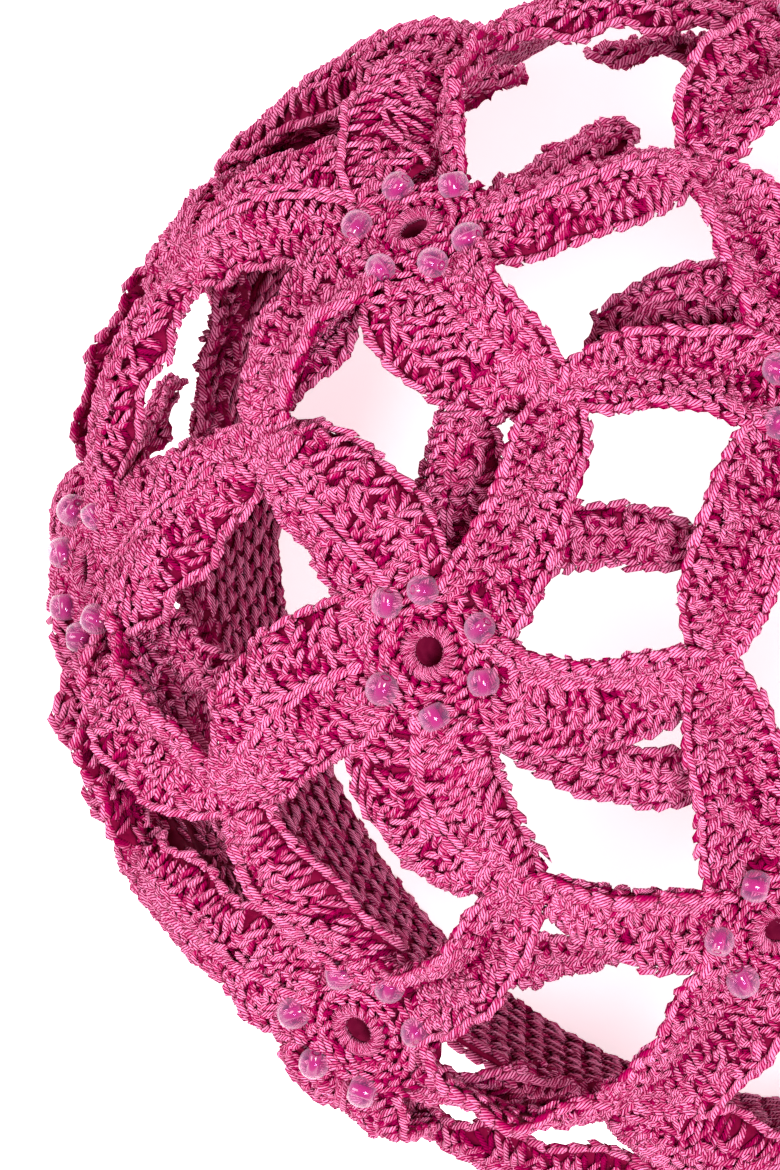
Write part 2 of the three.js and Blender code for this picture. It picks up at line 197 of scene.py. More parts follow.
# A petal's stitch: an end is a share of the row's height, a share of the stitch's spread, and a
# height; the bow is sideways and upwards. Two legs lie low and the wraps cross them
STITCH_FRONT = [
    ((-0.2, -0.5, 0.05), (1.1, -0.05, 0.35), (-0.25, 0.35), 0.9),
    ((-0.15, 0.05, 0.2), (1.05, 0.5, 0.25), (0.25, 0.4), 0.9),
    ((-0.05, -0.55, 0.35), (0.6, 0.5, 0.5), (0.1, 0.55), 1.0),
    ((0.4, -0.5, 0.4), (1.05, 0.45, 0.5), (-0.1, 0.55), 1.0),
]
STITCH_LOOP = ((1.1, -0.6, 0.3), (0.85, 0.65, 0.55), (0.0, 0.45), 1.0)
STITCH_BACK = [
    ((-0.1, 0.35, -0.5), (1.05, -0.25, -0.55), (0.15, -0.3), 0.85),
    ((-0.1, -0.4, -0.45), (1.05, 0.3, -0.5), (-0.15, -0.25), 0.8),
]
LAST_REACH = 1.25  # the last row's back strands end at this share, under the edge chain
BACK_THICKNESS = 1.15
FAN_ROW = 1.9  # the height of a row where the stitches fan out round a petal's tip
# A rosette's rounds: how many strands; an end is a share of the step from one strand to the next, a
# distance from the centre, and a height over the face
FRONT_ROUNDS = [
    (17, (-0.3, 3.9, 0.1), (0.4, 5.3, 0.2), (0, 0, 0.3), 0.9),
    (18, (-0.6, 5.0, 0.0), (0.6, 5.4, 0.3), (0, 0.2, 0.3), 0.85),
    (18, (-0.3, 4.9, 0.0), (0.35, 7.0, 0.3), (0, 0, 0.4), 0.85),
    (18, (0.3, 5.1, 0.0), (-0.3, 7.0, 0.2), (0, 0, 0.3), 0.75),
    (16, (-0.7, 6.1, 0.3), (0.5, 6.5, 0.5), (0, -0.3, 0.4), 1.0),
    (17, (-0.6, 6.9, 0.2), (0.55, 7.4, 0.4), (0, 0.2, 0.3), 0.95),
    (20, (-0.3, 6.9, 0.0), (0.35, 9.3, 0.2), (0, 0, 0.45), 0.85),
    (20, (0.3, 7.1, 0.0), (-0.3, 9.2, 0.1), (0, 0, 0.3), 0.75),
    (20, (0.6, 8.2, 0.4), (-0.5, 8.7, 0.4), (0, 0.3, 0.4), 1.0),
    (22, (-0.6, 9.4, 0.2), (0.55, 9.8, 0.3), (0, 0.2, 0.3), 0.95),
    (26, (-0.3, 9.3, 0.0), (0.35, 11.8, -0.3), (0, 0, 0.5), 0.85),
    (26, (0.3, 9.5, 0.0), (-0.3, 11.6, -0.3), (0, 0, 0.3), 0.75),
    (9, (-0.4, 0.4, -4.4), (0.6, 2.4, -4.2), (0, 0.3, -0.2), 0.6),
]
# The rounds at the back are painted darker, as painted shade
BACK_ROUNDS = [
    (16, (-0.2, 2.6, -4.4), (0.3, 6.8, -3.9), (0, 0, -0.3), 0.55),
    (22, (-0.2, 6.5, -3.6), (0.3, 10.5, -2.6), (0, 0, -0.3), 0.55),
]

# How far the ends of strands stray from their places, in millimetres or in the shares named above
EDGE_STRAY = 0.17
STITCH_STRAY = 0.25
STITCH_SWAY = 0.3  # how far a whole stitch leans to its side
RIB_STRAY = 0.18
ROUND_STRAY = (0.12, 0.2, 0.14)
BAND_STRAY = (0.09, 0.2, 0.12)

# Painted light and shade on a strand: it is painted lighter for each millimetre that it stands higher and
# darker as it lies deeper, and lighter on its outer side than on its underside
DEPTH_SHADE = 1.05
DEPTH_RANGE = (-0.6, 1.4)
EVEN_HEIGHT = 0.6  # where a strand is as light as its own number says
ROUND_SHADE = 0.24
TONE_SCATTER = 0.25
EDGE_LIGHT = 0.35  # how much higher the edge chain counts, as nothing shades it
# how much higher the rosette's rounds count, so that they are painted lighter
ROUND_LIGHT = 0.15

# The band
BAND_ROWS = 8
BAND_STITCHES = 156
BAND_CORD = 1.24  # its cord's thickness as a share of the flowers'
BAND_FOOT = 0.55  # the lowest that a strand starts
# The band's body is a dark sheet of painted shade behind its strands
BAND_WALLS = (DOME_RADIUS - 0.6, DOME_RADIUS + 0.5)  # its body's inner and outer face
BAND_ENDS = (0.4, BAND_HEIGHT - 0.3)  # its body's bottom and top

DEEP_SHADE = "3A0018"  # the colour where no light comes between the stitches

# Two soft lamps: where each stands, as shares of the directions back to the camera, to the picture's
# right and to its top; its distance and size in metres, and its watts
LAMPS = {"key": ((0.9, 0.12, -0.2), 1.3, 0.5, 20), "fill": ((0.5, -0.9, 0.1), 1.5, 0.9, 18)}


class HatSizes(bpy.types.PropertyGroup):
    """Sizes that a maker would change."""

    cord: bpy.props.FloatProperty(
        name="Cord", description="Thickness of the twisted cord",
        default=0.00108, min=0.0005, max=0.003, unit="LENGTH", precision=5,
    )
    stitch: bpy.props.FloatProperty(
        name="Stitch", description="Length of one stitch along an edge",
        default=0.00255, min=0.0015, max=0.006, unit="LENGTH", precision=5,
    )
    ply: bpy.props.FloatProperty(
        name="Ply", description="Distance between the twists of the cord, along it",
        default=0.0006, min=0.0002, max=0.003, unit="LENGTH", precision=5,
    )
    bead: bpy.props.FloatProperty(
        name="Bead", description="Diameter of a glass bead",
        default=0.0044, min=0.002, max=0.01, unit="LENGTH", precision=5,
    )


class HatColours(bpy.types.PropertyGroup):
    """Colours that a maker would change, as sRGB hex values."""

    # A painted highlight: the colour of the plies' crowns where light falls on them
    lit_crest: bpy.props.StringProperty(
        name="Cord, lit", description="Colour of the cord where its plies stand out", default="F68FBE"
    )
    # Painted shade: the colour between the plies and on strands painted dark
    shaded_valley: bpy.props.StringProperty(
        name="Cord, hollows", description="Colour of the cord between its plies", default="A80052"
    )
    # Painted shade: the colour of the dark sheets behind the strands
    depth: bpy.props.StringProperty(
        name="Cord, deep", description="Colour deep between the stitches", default="92003E"
    )
    lining: bpy.props.StringProperty(
        name="Bead lining", description="Colour of the lining of a bead's hole", default="BC0072"
    )


def linear(hex_colour):
    """An sRGB hex value as linear red, green, blue and alpha."""
    channels = [int(hex_colour[i : i + 2], 16) / 255 for i in (0, 2, 4)]
    return [c / 12.92 if c <= 0.04045 else ((c + 0.055) / 1.055) ** 2.4 for c in channels] + [1.0]


def unit(vectors):
    return vectors / np.maximum(np.linalg.norm(vectors, axis=-1, keepdims=True), 1e-9)


def dome_point(down, round_way):
    """A point of the dome; past 90 degrees down it is on the upright wall."""
    slope, turn = math.radians(min(down, 90)), math.radians(round_way)
    below = max(0, math.radians(down) - math.pi / 2) * DOME_RADIUS
    return np.array(
        [
            DOME_RADIUS * math.sin(slope) * math.cos(turn),
            DOME_RADIUS * math.sin(slope) * math.sin(turn),
            EQUATOR_HEIGHT + DOME_RADIUS * math.cos(slope) - below,
        ]
    )


def dome_normal(points):
    out = np.array(points, float)
    out[..., 2] = np.maximum(0, out[..., 2] - EQUATOR_HEIGHT)
    return unit(out)


def onto_dome(points):
    foot = np.zeros_like(points)
    foot[..., 2] = np.minimum(points[..., 2], EQUATOR_HEIGHT)
    return dome_normal(points) * DOME_RADIUS + foot


def way_points(start, end, bow, shares):
    """Points of the dome along a bowed way from start to end."""
    chord = end - start
    left = unit(np.cross(dome_normal(start), chord))
    aside = np.sin(np.pi * np.clip(shares, 0, 1)) * bow
    return onto_dome(start + shares[:, None] * chord + aside[:, None] * left)


def read_rows(at, places, rows):
    """Rows of vectors read at a place between their own places."""
    return np.stack([np.interp(at, places, rows[:, k]) for k in range(rows.shape[1])], -1)


def softened(values, window):
    """A run of values with its corners rounded over a window of neighbours."""
    padded = np.pad(values, window, mode="edge")
    # The padding keeps the slope of the ends, so that they are not pulled in
    padded[:window] += (values[0] - values[1]) * np.arange(window, 0, -1)
    padded[-window:] += (values[-1] - values[-2]) * np.arange(1, window + 1)
    kernel = np.ones(2 * window + 1) / (2 * window + 1)
    return np.convolve(padded, kernel, mode="valid")


class Leaf:
    """The folded surface of one petal. A flat place on it is (along, across, through) in mm."""

    STATIONS = 61

    def __init__(self, flower, target, start, gap, rows, bow, forms, random, wide=1):
        centre, lean = flower["centre"], math.radians(flower["lean"])
        distance = np.linalg.norm(target - centre)
        self.length = distance - start - gap
        shares = np.linspace(-0.05, 1.1, self.STATIONS)
        ways = (start + shares * self.length) / distance
        self.along = shares * self.length
        self.origin = way_points(centre, target, bow, ways)
        ahead = way_points(centre, target, bow, ways + 0.01)
        behind = way_points(centre, target, bow, ways - 0.01)
        self.out = dome_normal(self.origin)
        self.across = unit(np.cross(self.out, unit(ahead - behind)))
        rows = np.array(rows, float)
        half = np.maximum(softened(np.interp(shares, rows[:, 0], rows[:, 1]), 4), 1.0)
        self.lift = softened(np.interp(shares, rows[:, 0], rows[:, 2]), 4)
        stations = [0, 0.5, 1]
        # The left side and the right side have their own widths, folds and curls
        self.half = [half * form["wide"] * wide for form in forms]
        self.fold = [np.radians(softened(np.interp(shares, stations, form["fold"]), 5)) for form in forms]
        self.curl = [np.radians(softened(np.interp(shares, stations, form["curl"]), 5)) for form in forms]
        self.puff = [form["puff"] for form in forms]
        self.rib = max(form["rib"] for form in forms)
        # A leaning flower lifts its downhill petals' roots and turns those at its sides
        reach = start + self.along
        fade = np.clip((LEAN_FADE[1] - reach) / (LEAN_FADE[1] - LEAN_FADE[0]), 0, 1)
        heading = unit(target - centre)
        downhill = float(heading @ flower["downhill"])
        sideways = float(heading @ flower["roundwise"])
        self.lift = self.lift + reach * math.sin(lean) * downhill * fade
        # Small irregular turns and waves, as hand work has
        wobble = random.uniform(-1, 1, 8)
        self.turn = -lean * sideways * fade
        self.turn = self.turn + math.radians(9) * np.sin(3.0 * shares + 3 * wobble[0]) * wobble[1]
        # The waves of the left and the right edge: height, length and shift
        self.wave = [
            (0.9 + 0.4 * wobble[k], 11.5 + 2.5 * wobble[k + 1], 3 * wobble[k + 2]) for k in (2, 5)
        ]

    def read(self, pair, along, left):
        """A value that differs between the two sides, read at places on them."""
        first, second = (np.interp(along, self.along, values) for values in pair)
        return np.where(left, first, second)

    def half_at(self, along, across):
        return self.read(self.half, along, across > 0)

    def place(self, flat):
        """Flat places, shape (..., 3), as points of the hat."""
        along, across, through = flat[..., 0], flat[..., 1], flat[..., 2]
        left = across > 0
        side = np.where(left, 1.0, -1.0)
        width = np.abs(across)
        half = self.read(self.half, along, left)
        fold = self.read(self.fold, along, left)
        curl = self.read(self.curl, along, left)

        def slope_at(width):
            return fold * np.tanh(width / CREASE) + curl * np.square(width / half)

        # The way out from the midrib is added up in six steps
        slopes = [slope_at(width * t) for t in (np.arange(6) + 0.5) / 6]
        sideways = side * width * np.mean(np.cos(slopes), axis=0)
        outwards = width * np.mean(np.sin(slopes), axis=0)
        slope = slope_at(width)
        sideways = sideways - side * through * np.sin(slope)
        outwards = outwards + through * np.cos(slope)
        for sign, (height, period, shift) in zip((1, -1), self.wave):
            wave = height * np.square(width / half) * np.sin(2 * np.pi * along / period + shift)
            outwards = outwards + np.where(side == sign, wave, 0)
        puff = np.where(left, self.puff[0], self.puff[1])
        outwards = outwards + puff * np.sin(np.pi * np.clip(width / half, 0, 1))
        sunk = [reach * np.sin(rise) for reach, rise in zip(self.half, self.fold)]
        settle = FOLD_SETTLE * np.interp(along, self.along, (sunk[0] + sunk[1]) / 2)
        turn = np.interp(along, self.along, self.turn)
        lift = np.interp(along, self.along, self.lift)
        level = sideways * np.cos(turn) - outwards * np.sin(turn)
        height = lift - settle + sideways * np.sin(turn) + outwards * np.cos(turn)
        origin = read_rows(along, self.along, self.origin)
        out = read_rows(along, self.along, self.out)
        beside = read_rows(along, self.along, self.across)
        return origin + level[..., None] * beside + height[..., None] * out

    def fold_shade(self, flat):
        """How many millimetres deeper a flat place counts for its painted shade: positive in the middle of an
        upright fold, which is painted darker there, and less than nothing towards its edges and along the
        ridge of a fold that falls, which are painted lighter."""
        along, across = flat[..., 0], flat[..., 1]
        rise = np.sin(self.read(self.fold, along, across > 0))
        return FOLD_SHADE_DEPTH * rise * (np.exp(-np.square(across / FOLD_REACH)) - 0.25)

    def outline(self):
        """The flat edge from the root round the tip and back, as a run of places."""
        along = np.linspace(ROOT_HIDDEN, self.length, 60)
        left = np.stack([along, self.half_at(along, 1.0) - 0.6], -1)
        right = np.stack([along, 0.6 - self.half_at(along, -1.0)], -1)[::-1]
        tip = np.linspace(0.5 * np.pi, -0.5 * np.pi, 9)[1:-1]
        end = np.where(tip > 0, left[-1, 1], -right[0, 1])
        cap = np.stack([self.length + 0.9 * np.cos(tip), end * np.sin(tip)], -1)
        return np.concatenate([left, cap, right])


class Edge:
    """A petal's outline, read by (distance along it, distance out of it, through)."""

    def __init__(self, leaf):
        line = leaf.outline()
        steps = np.linalg.norm(np.diff(line, axis=0), axis=1)
        self.run = np.concatenate([[0], np.cumsum(steps)])
        self.total = self.run[-1]
        fine = np.linspace(0, self.total, 241)
        self.line = read_rows(fine, self.run, line)
        self.run = fine
        way = unit(np.gradient(self.line, axis=0))
        way = np.stack([softened(way[:, 0], 5), softened(way[:, 1], 5)], -1)
        self.outward = unit(np.stack([-way[:, 1], way[:, 0]], -1))

    def flat(self, local):
        at, out, through = local[..., 0], local[..., 1], local[..., 2]
        spot = read_rows(at, self.run, self.line) + out[..., None] * read_rows(at, self.run, self.outward)
        return np.concatenate([spot, through[..., None]], -1)


def faces_of(bm):
    """Every face as a list of its corners, in an order that is the same each time."""
    faces = []
    for face in bm.faces:
        corners = [vert.index for vert in face.verts]
        first = corners.index(min(corners))
        faces.append(corners[first:] + corners[:first])
    return sorted(faces)


def strand_template(sides, rings):
    """One strand's faces: a ball whose rings later take their places along the strand's line."""
    bm = bmesh.new()
    bmesh.ops.create_uvsphere(bm, u_segments=sides, v_segments=rings + 1, radius=1)
    co = np.array([v.co[:] for v in bm.verts])
    ring = np.rint(np.arccos(np.clip(-co[:, 2], -1, 1)) / math.pi * (rings + 1)).astype(int)
    angle = np.arctan2(co[:, 1], co[:, 0]) / (2 * math.pi)
    faces = faces_of(bm)
    bm.free()
    shares = (1 - np.cos(np.pi * np.arange(rings + 2) / (rings + 1))) / 2
    uv = []
    for face in faces:
        inner = [i for i in face if 0 < ring[i] < rings + 1]
        base = angle[inner[0]]
        turns = {i: angle[i] - round(angle[i] - base) for i in inner}
        middle = sum(turns.values()) / len(turns)
        uv += [(shares[ring[i]], turns.get(i, middle)) for i in face]
    return {
        "ring": ring,
        "cos": np.cos(angle * 2 * math.pi),
        "sin": np.sin(angle * 2 * math.pi),
        "shares": shares,
        "corners": np.concatenate(faces),
        "counts": np.array([len(face) for face in faces]),
        "uv": np.array(uv),
    }


# Kinds of strand, as (sides, rings): the ones that show most have the most
KNOT, EDGING, FRONT, BACK, WOUND = (6, 3), (5, 2), (4, 2), (3, 2), (5, 5)
TEMPLATES = {kind: strand_template(*kind) for kind in (KNOT, EDGING, FRONT, BACK, WOUND)}
# How thick a strand is at its rings, as a share of its thickness
FULLNESS = {
    2: np.array([0.12, 0.95, 0.95, 0.12]),
    3: np.array([0.12, 0.84, 1.0, 0.84, 0.12]),
    5: np.array([0.1, 0.7, 0.95, 1.0, 0.95, 0.7, 0.1]),
}


def row_ends(at, step, first, last, random=None, stray=0.0):
    """Both ends of every strand of a row: first and last, counted from the places at. Their first
    number is a share of the step between places; stray is how far the ends lie from there."""
    ends = []
    for along, across, height in (first, last):
        end = np.stack(np.broadcast_arrays(at + along * step, across, height), -1)
        if random is not None:
            end = end + random.normal(0, 1, end.shape) * stray
        ends.append(end)
    return ends


def bowed(start, end, bow, kind):
    """Lines from start to end that bow aside in the middle: shape (strand, ring, 3)."""
    start, end, bow = (np.atleast_2d(np.asarray(a, float))[:, None] for a in (start, end, bow))
    t = TEMPLATES[kind]["shares"][None, :, None]
    return start * (1 - t) + end * t + bow * np.sin(np.pi * t)


class Crochet:
    """Gathers strands of cord and the dark sheets of painted shade behind them, and joins them into one mesh.
    """

    def __init__(self, seed, sizes):
        self.random = np.random.default_rng(seed)
        self.cord = sizes.cord / MM
        self.pitch = sizes.stitch / MM
        self.points, self.uvs, self.shades_and_tones = [], [], []
        self.corners, self.counts, self.finishes = [], [], []
        self.total = 0

    def gather(self, points, corners, counts, uv, shades_and_tones, finish):
        """Adds points and the faces between them: all their corners in a row, and how many each
        face has. uv is the corners' places on the cord."""
        self.points.append(points)
        self.shades_and_tones.append(shades_and_tones)
        self.uvs.append(uv)
        self.corners.append(corners + self.total)
        self.counts.append(counts)
        self.finishes.append(np.full(len(counts), finish))
        self.total += len(points)

    def strands(self, lines, outs, thickness, shade_and_tone, sides, height=None):
        """Cord along lines (strand, ring, 3); outs are the directions out of the work there.

        height is how high in the work each ring lies: what lies deep is painted darker, as painted shade."""
        number, rings = lines.shape[0], lines.shape[1] - 2
        template = TEMPLATES[(sides, rings)]
        ring = template["ring"]
        way = unit(np.gradient(lines, axis=1))
        beside = unit(np.cross(outs, way))
        out = np.cross(way, beside)
        size = thickness / 2 * self.random.uniform(0.93, 1.08, number)
        radius = size[:, None] * FULLNESS[rings]
        offset = beside[:, ring] * template["cos"][:, None] + out[:, ring] * template["sin"][:, None]
        points = lines[:, ring] + offset * radius[:, ring][..., None]
        length = np.linalg.norm(np.diff(lines, axis=1), axis=2).sum(1)
        uv = np.repeat(template["uv"][None], number, 0)
        uv[..., 0] = uv[..., 0] * length[:, None] + self.random.uniform(0, 200, number)[:, None]
        # Each strand's own lightness with a random difference of colour between strands
        shades_and_tones = shade_and_tone + self.random.uniform(-TONE_SCATTER, TONE_SCATTER, number)
        shades_and_tones = np.repeat(shades_and_tones[:, None], rings + 2, 1)
        # Painted shade: rings that lie deep in the work are darker, high ones lighter
        if height is not None:
            shades_and_tones = shades_and_tones + DEPTH_SHADE * (np.clip(height, *DEPTH_RANGE) - EVEN_HEIGHT)
        # Painted light and shade round the strand: its outer side lighter, its underside darker
        shades_and_tones = shades_and_tones[:, ring] + ROUND_SHADE * template["sin"]
        corners = template["corners"] + (np.arange(number) * len(ring))[:, None]
        counts = np.tile(template["counts"], number)
        self.gather(points.reshape(-1, 3), corners.ravel(), counts, uv.reshape(-1, 2), shades_and_tones.ravel(), 0)

    def body(self, bm, finish=1, shade_and_tone=0.6):
        """A modelled shape in millimetres that lies behind the strands; among the cord's materials its
        default finish is the dark painted shade between the stitches.
        """
        bm.verts.index_update()
        points = np.array([v.co[:] for v in bm.verts])
        faces = faces_of(bm)
        bm.free()
        corners = np.concatenate(faces)
        counts = np.array([len(face) for face in faces])
        shades_and_tones = np.full(len(points), shade_and_tone)
        self.gather(points, corners, counts, np.zeros((len(corners), 2)), shades_and_tones, finish)

    def triangles(self):
        return int(sum((counts - 2).sum() for counts in self.counts))

    def object(self, name, materials):
        """The finished piece, in metres."""
        points = np.concatenate(self.points) * MM
        corners = np.concatenate(self.corners)
        counts = np.concatenate(self.counts)
        starts = np.concatenate([[0], np.cumsum(counts)[:-1]])
        mesh = bpy.data.meshes.new(name)
        mesh.vertices.add(len(points))
        mesh.vertices.foreach_set("co", points.astype(np.float32).ravel())
        mesh.loops.add(len(corners))
        mesh.loops.foreach_set("vertex_index", corners.astype(np.int32))
        mesh.polygons.add(len(counts))
        mesh.polygons.foreach_set("loop_start", starts.astype(np.int32))
        mesh.polygons.foreach_set("use_smooth", np.ones(len(counts), bool))
        mesh.polygons.foreach_set("material_index", np.concatenate(self.finishes).astype(np.int32))
        layer = mesh.uv_layers.new(name="cord")
        layer.data.foreach_set("uv", np.concatenate(self.uvs).astype(np.float32).ravel())
        # The per-point lightness with which the cord's materials paint light and shade, with a random
        # difference between strands
        shade_and_tone = mesh.attributes.new("shade_and_tone", "FLOAT", "POINT")
        shade_and_tone.data.foreach_set("value", np.concatenate(self.shades_and_tones).astype(np.float32))
        mesh.update(calc_edges=True)
        for material in materials:
            mesh.materials.append(material)
        piece = bpy.data.objects.new(name, mesh)
        bpy.context.scene.collection.objects.link(piece)
        return piece


def outs_of(place, flat):
    """The directions out of the work at flat places."""
    lifted = flat.copy()
    lifted[..., 2] += 0.4
    return unit(place(lifted) - place(flat))


def lay(crochet, place, flat, thickness, shade_and_tone, kind, painted_light=0.0):
    """Lays strands on a flat chart's place; the last number is how many millimetres higher they count, so
    that they are painted lighter: painted light.
    """
    # Painted shade by height: strands that lie deep in the work are painted darker
    height = np.abs(flat[..., 2]) + painted_light
    crochet.strands(place(flat), outs_of(place, flat), thickness, shade_and_tone, kind[0], height)


def petal_shade_sheet(crochet, leaf, inset):
    """A thin shell just inside a petal's strands, in the dark colour of painted shade, that shows between
    them.
    """
    thickness = 0.24
    bm = bmesh.new()
    bmesh.ops.create_grid(bm, x_segments=13, y_segments=9, size=0.5)
    flat = np.array([v.co[:] for v in bm.verts])
    along = ROOT_HIDDEN + 0.4 + (flat[:, 0] + 0.5) * (leaf.length - ROOT_HIDDEN)
    flat[:, 0] = along
    flat[:, 1] = flat[:, 1] * 2 * (leaf.half_at(along, flat[:, 1]) - inset)
    flat[:, 2] = -thickness / 2
    for vert, point in zip(bm.verts, leaf.place(flat)):
        vert.co = point
    bmesh.ops.recalc_face_normals(bm, faces=bm.faces)
    bmesh.ops.solidify(bm, geom=bm.faces[:], thickness=thickness)
    bmesh.ops.recalc_face_normals(bm, faces=bm.faces)
    crochet.body(bm)


def petal(crochet, leaf, rows, wraps):
    """A petal: its edge chain, its rows of stitches, round each of which the cord goes wraps times,
    and its midrib chain."""
    random, cord = crochet.random, crochet.cord
    edge = Edge(leaf)
    count = int(round(edge.total / crochet.pitch))
    pitch = edge.total / count
    root, fan = ROOT_HIDDEN, FAN_ROW * rows
    upwards = np.array([0, 0, 1.0])

    # Each strand is painted lighter where it stands open and darker in the middle of an upright fold: painted
    # light and shade
    def put(flat, thickness, shade_and_tone, kind, painted_light=0.0):
        lay(crochet, leaf.place, flat, thickness, shade_and_tone, kind, painted_light - leaf.fold_shade(flat))

    # The edge chain: each link's two legs cross and lie on the start of the next link
    for first, last, bow, thickness, shade_and_tone in EDGE_LEGS:
        ends = row_ends((np.arange(count) + 0.5) * pitch, pitch, first, last, random, EDGE_STRAY)
        local = bowed(*ends, bow, EDGING)
        local[..., 0] = np.clip(local[..., 0], 0, edge.total)
        put(edge.flat(local), cord * thickness, shade_and_tone, EDGING, EDGE_LIGHT)

    for row in range(rows):
        # Every other row is shifted by half a stitch, as its stitches stand between those below
        at = np.clip((np.arange(count) + (0.5 if row % 2 else 0.0)) * pitch, 0.3, edge.total - 0.3)
        zero = np.zeros(count)
        tops = edge.flat(np.stack([at, zero - 0.7, zero], -1))
        feet = tops.copy()
        feet[:, 0] = root + (tops[:, 0] - root) * (leaf.length - fan - root) / (leaf.length - root)
        feet[:, 1] = np.sign(tops[:, 1]) * 0.6
        reach = tops - feet
        reach[:, 2] = 0
        aside = unit(np.stack([-reach[:, 1], reach[:, 0], zero], -1)) * np.sign(tops[:, 1:2] + 1e-6)
        low, high = row / rows, (row + 1) / rows
        # Stitches draw together where the columns meet at the fan's foot
        spread = pitch * 0.92 * (0.55 + 0.45 * (low + high) / 2)
        # A few stitches twist the other way, and some stand higher
        hand = np.where(random.uniform(0, 1, count) < 0.2, -1.0, 1.0)[:, None]
        swell = random.normal(0, 0.28, count)[:, None]

        def along_post(first, last, bow, shade_and_tone, thickness, kind):
            sway = aside * random.normal(0, STITCH_SWAY, (count, 1))
            ends = []
            for (share, side, height), lean in ((first, sway), (last, -sway)):
                end = feet + reach * (low + share * (high - low)) + aside * hand * (side * spread) + lean
                ends.append(end + upwards * height + random.normal(0, STITCH_STRAY, end.shape))
            rise = bow[1] + swell + random.normal(0, 0.12, (count, 1))
            flat = bowed(*ends, aside * hand * bow[0] + upwards * rise, kind)
            put(flat, thickness, shade_and_tone, kind)

        inner = row < rows - 1
        for strand in STITCH_FRONT[: 2 + wraps]:
            along_post(*strand, cord, FRONT)
        if inner:
            along_post(*STITCH_LOOP, cord, FRONT)
        for first, last, bow, shade_and_tone in STITCH_BACK:
            reached = last if inner else (LAST_REACH, *last[1:])
            along_post(first, reached, bow, shade_and_tone, cord * BACK_THICKNESS, BACK)

    # The midrib is the chain that the petal was begun on
    ribs = int((leaf.length - fan - root + 2.0) / pitch)
    at = root + (np.arange(ribs) + 0.5) * pitch
    for side in (1, -1):
        first = (-0.65, 0.1 * side, leaf.rib - 0.2)
        last = (0.65, 0.25 * side, leaf.rib + 0.4)
        ends = row_ends(at, pitch, first, last, random, RIB_STRAY)
        # The midrib's chain is painted lighter the higher it stands: painted light
        put(bowed(*ends, (0, 0.42 * side, 0.3), EDGING), cord * 1.1, 0.8 + 0.25 * leaf.rib, EDGING)
    # The strands under the midrib are painted darker, as painted shade
    ends = row_ends(at, pitch, (-0.3, -0.7, -0.6), (0.3, 0.7, -0.6))
    lay(crochet, leaf.place, bowed(*ends, (0, 0, -0.3), BACK), cord, 0.6, BACK)
    petal_shade_sheet(crochet, leaf, 0.6 if rows > 2 else 0.4)


class Disc:
    """The rosette's face. A flat place on it is (degrees round, distance, through)."""

    def __init__(self, flower):
        self.centre = flower["centre"]
        lean = math.radians(flower["lean"])
        normal = flower["normal"] * math.cos(lean) - flower["downhill"] * math.sin(lean)
        self.normal = normal
        self.first = np.cross(flower["roundwise"], normal)
        self.second = flower["roundwise"]
        table = np.array(ROSETTE_FACE, float)
        self.radii, self.heights = table[:, 0], table[:, 1]

    def place(self, flat):
        height = np.interp(flat[..., 1], self.radii, self.heights) + flat[..., 2]
        return self.raw(np.radians(flat[..., 0]), flat[..., 1], height)

    def raw(self, angle, radius, height):
        """A point by its height over the centre instead of over the face."""
        level = np.cos(angle)[..., None] * self.first + np.sin(angle)[..., None] * self.second
        return self.centre + radius[..., None] * level + height[..., None] * self.normal

    def matrix(self):
        axes = [Vector(axis) for axis in (self.first, self.second, self.normal)]
        turned = Matrix([list(axis) for axis in axes]).transposed().to_4x4()
        return Matrix.Translation(Vector(self.centre)) @ turned


def ring_wraps(crochet, disc):
    """Cord wound close round the ring in the middle of a flower."""
    shares = TEMPLATES[WOUND]["shares"]
    turn = np.arange(RING_WRAPS) * 2 * np.pi / RING_WRAPS
    turn = turn + crochet.random.normal(0, 0.025, RING_WRAPS)
    over = np.radians(240 - 300 * shares)
    angle = turn[:, None] + WRAP_SLANT * (shares - 0.5)[None, :]
    size = RING_THICKNESS + crochet.random.normal(0, 0.04, RING_WRAPS)[:, None]
    radius = RING_RADIUS + size * np.cos(over)[None, :]
    height = RING_HEIGHT + size * np.sin(over)[None, :]
    lines = disc.raw(angle, radius, height)
    hub = disc.raw(angle, np.full(angle.shape, RING_RADIUS), np.full(angle.shape, RING_HEIGHT))
    crochet.strands(lines, unit(lines - hub), WRAP_THICKNESS, 1.0, WOUND[0])


def turned_shape(profile, steps):
    """A profile of (radius, height) turned round the upright axis, on which it ends or round which it
    closes on itself."""
    bm = bmesh.new()
    verts = [bm.verts.new((radius, 0, height)) for radius, height in profile]
    edges = [bm.edges.new(pair) for pair in zip(verts, verts[1:])]
    if profile[0][0] > 0:
        edges.append(bm.edges.new((verts[-1], verts[0])))
    whole = {"cent": (0, 0, 0), "axis": (0, 0, 1), "angle": 2 * math.pi, "use_merge": True}
    bmesh.ops.spin(bm, geom=verts + edges, steps=steps, **whole)
    bmesh.ops.remove_doubles(bm, verts=bm.verts, dist=1e-4)
    bmesh.ops.recalc_face_normals(bm, faces=bm.faces)
    return bm


